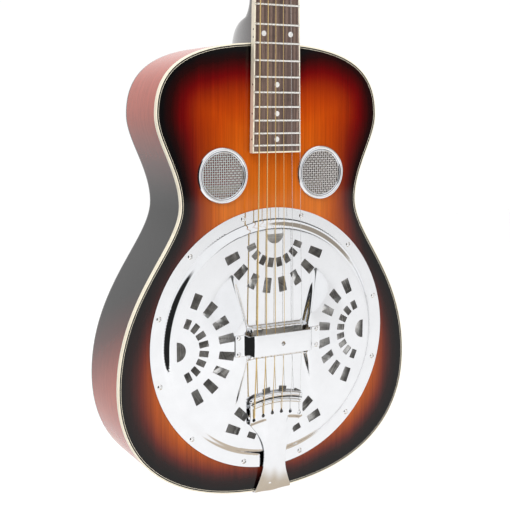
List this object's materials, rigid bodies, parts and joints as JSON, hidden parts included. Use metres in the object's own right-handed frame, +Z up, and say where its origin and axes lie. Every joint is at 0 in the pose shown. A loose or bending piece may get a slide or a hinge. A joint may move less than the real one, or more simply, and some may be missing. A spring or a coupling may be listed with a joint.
{
  "type": "resonator guitar",
  "caption": "Round-neck resonator guitar with a chrome coverplate over a spun cone and spider bridge, two round screens, a trapeze tailpiece and a slotted headstock.",
  "frame": {"origin": "back of the neck at the nut, on the centre line, where a wall hanger carries the guitar", "axes": "+Z up along the neck to the headstock, -Y the way the strings face, +X the treble side"},
  "size_m": [0.36, 0.108, 1.0008],
  "materials": {
    "top_wood": "gloss sunburst lacquer",
    "side_wood": "gloss lacquer, dark towards the edges",
    "neck_wood": "gloss lacquer",
    "inner_wood": "bare",
    "rosewood": "satin, open grain",
    "binding": "cream",
    "bone": "satin",
    "pearl": "pearly",
    "black_plastic": "gloss",
    "chrome": "polished",
    "screw_metal": "polished",
    "fret_metal": "polished",
    "mesh_metal": "woven wire",
    "cone_metal": "spun",
    "cast_metal": "cast",
    "rod_steel": "dark",
    "bronze_string": "bronze wound",
    "steel_string": "plain",
    "felt": "felt"
  },
  "bodies": {
    "guitar": {"soundboard": "top_wood", "back_plate": "side_wood", "bass_side": "side_wood", "treble_side": "side_wood", "top_binding": "binding", "back_binding": "binding", "linings": "inner_wood", "neck_block": "inner_wood", "tail_block": "inner_wood", "soundwell": "inner_wood", "braces": "inner_wood", "cone": "cone_metal", "spider": "cast_metal", "saddle": "inner_wood", "coverplate": "chrome", "coverplate_screws": "screw_metal", "palm_rest": "chrome", "palm_rest_screws": "screw_metal", "bass_screen_ring": "chrome", "bass_screen_mesh": "mesh_metal", "treble_screen_ring": "chrome", "treble_screen_mesh": "mesh_metal", "tailpiece": "chrome", "tailpiece_felt": "felt", "tail_screws": "screw_metal", "strap_button": "chrome", "neck": "neck_wood", "heel_cap": "binding", "neck_bolts": "rod_steel", "fretboard": "rosewood", "fretboard_binding": "binding", "frets": "fret_metal", "position_dots": "pearl", "side_dots": "black_plastic", "nut": "bone", "headstock_veneer": "black_plastic", "truss_rod": "rod_steel", "truss_rod_cover": "pearl", "headstock_screws": "screw_metal", "bass_tuner_plate": "chrome", "treble_tuner_plate": "chrome", "string_1": "steel_string", "string_2": "steel_string", "string_3": "bronze_string", "string_4": "bronze_string", "string_5": "bronze_string", "string_6": "bronze_string"},
    "bridge_screw": {"tension_screw": "screw_metal"},
    "key_1": {"tuner_key_1": "chrome"},
    "post_1": {"string_post_1": "screw_metal"},
    "key_2": {"tuner_key_2": "chrome"},
    "post_2": {"string_post_2": "screw_metal"},
    "key_3": {"tuner_key_3": "chrome"},
    "post_3": {"string_post_3": "screw_metal"},
    "key_4": {"tuner_key_4": "chrome"},
    "post_4": {"string_post_4": "screw_metal"},
    "key_5": {"tuner_key_5": "chrome"},
    "post_5": {"string_post_5": "screw_metal"},
    "key_6": {"tuner_key_6": "chrome"},
    "post_6": {"string_post_6": "screw_metal"}
  },
  "joints": [
    {"name": "tension_screw_turn", "type": "hinge", "parent": "guitar", "child": "bridge_screw", "pos_m": [0, -0.018, -0.635], "axis": [0, 1, 0], "range_deg": [-180, 180]},
    {"name": "key_1_turn", "type": "hinge", "parent": "guitar", "child": "key_1", "pos_m": [0.0358, 0.00424, 0.05769], "axis": [0, 0.9703, -0.2419], "continuous": true},
    {"name": "post_1_turn", "type": "hinge", "parent": "guitar", "child": "post_1", "pos_m": [0.02, 0.00124, 0.04937], "axis": [1, 0, 0], "continuous": true},
    {"name": "key_2_turn", "type": "hinge", "parent": "guitar", "child": "key_2", "pos_m": [0.0358, 0.01295, 0.09262], "axis": [0, 0.9703, -0.2419], "continuous": true},
    {"name": "post_2_turn", "type": "hinge", "parent": "guitar", "child": "post_2", "pos_m": [0.02, 0.00995, 0.0843], "axis": [1, 0, 0], "continuous": true},
    {"name": "key_3_turn", "type": "hinge", "parent": "guitar", "child": "key_3", "pos_m": [0.0358, 0.02166, 0.12756], "axis": [0, 0.9703, -0.2419], "continuous": true},
    {"name": "post_3_turn", "type": "hinge", "parent": "guitar", "child": "post_3", "pos_m": [0.02, 0.01866, 0.11923], "axis": [1, 0, 0], "continuous": true},
    {"name": "key_4_turn", "type": "hinge", "parent": "guitar", "child": "key_4", "pos_m": [-0.0358, 0.02166, 0.12756], "axis": [0, 0.9703, -0.2419], "continuous": true},
    {"name": "post_4_turn", "type": "hinge", "parent": "guitar", "child": "post_4", "pos_m": [-0.02, 0.01866, 0.11923], "axis": [1, 0, 0], "continuous": true},
    {"name": "key_5_turn", "type": "hinge", "parent": "guitar", "child": "key_5", "pos_m": [-0.0358, 0.01295, 0.09262], "axis": [0, 0.9703, -0.2419], "continuous": true},
    {"name": "post_5_turn", "type": "hinge", "parent": "guitar", "child": "post_5", "pos_m": [-0.02, 0.00995, 0.0843], "axis": [1, 0, 0], "continuous": true},
    {"name": "key_6_turn", "type": "hinge", "parent": "guitar", "child": "key_6", "pos_m": [-0.0358, 0.00424, 0.05769], "axis": [0, 0.9703, -0.2419], "continuous": true},
    {"name": "post_6_turn", "type": "hinge", "parent": "guitar", "child": "post_6", "pos_m": [-0.02, 0.00124, 0.04937], "axis": [1, 0, 0], "continuous": true}
  ],
  "couplings": [
    {"joint": "post_1_turn", "follows": "key_1_turn", "ratio": 0.071429},
    {"joint": "post_2_turn", "follows": "key_2_turn", "ratio": 0.071429},
    {"joint": "post_3_turn", "follows": "key_3_turn", "ratio": 0.071429},
    {"joint": "post_4_turn", "follows": "key_4_turn", "ratio": -0.071429},
    {"joint": "post_5_turn", "follows": "key_5_turn", "ratio": -0.071429},
    {"joint": "post_6_turn", "follows": "key_6_turn", "ratio": -0.071429}
  ]
}
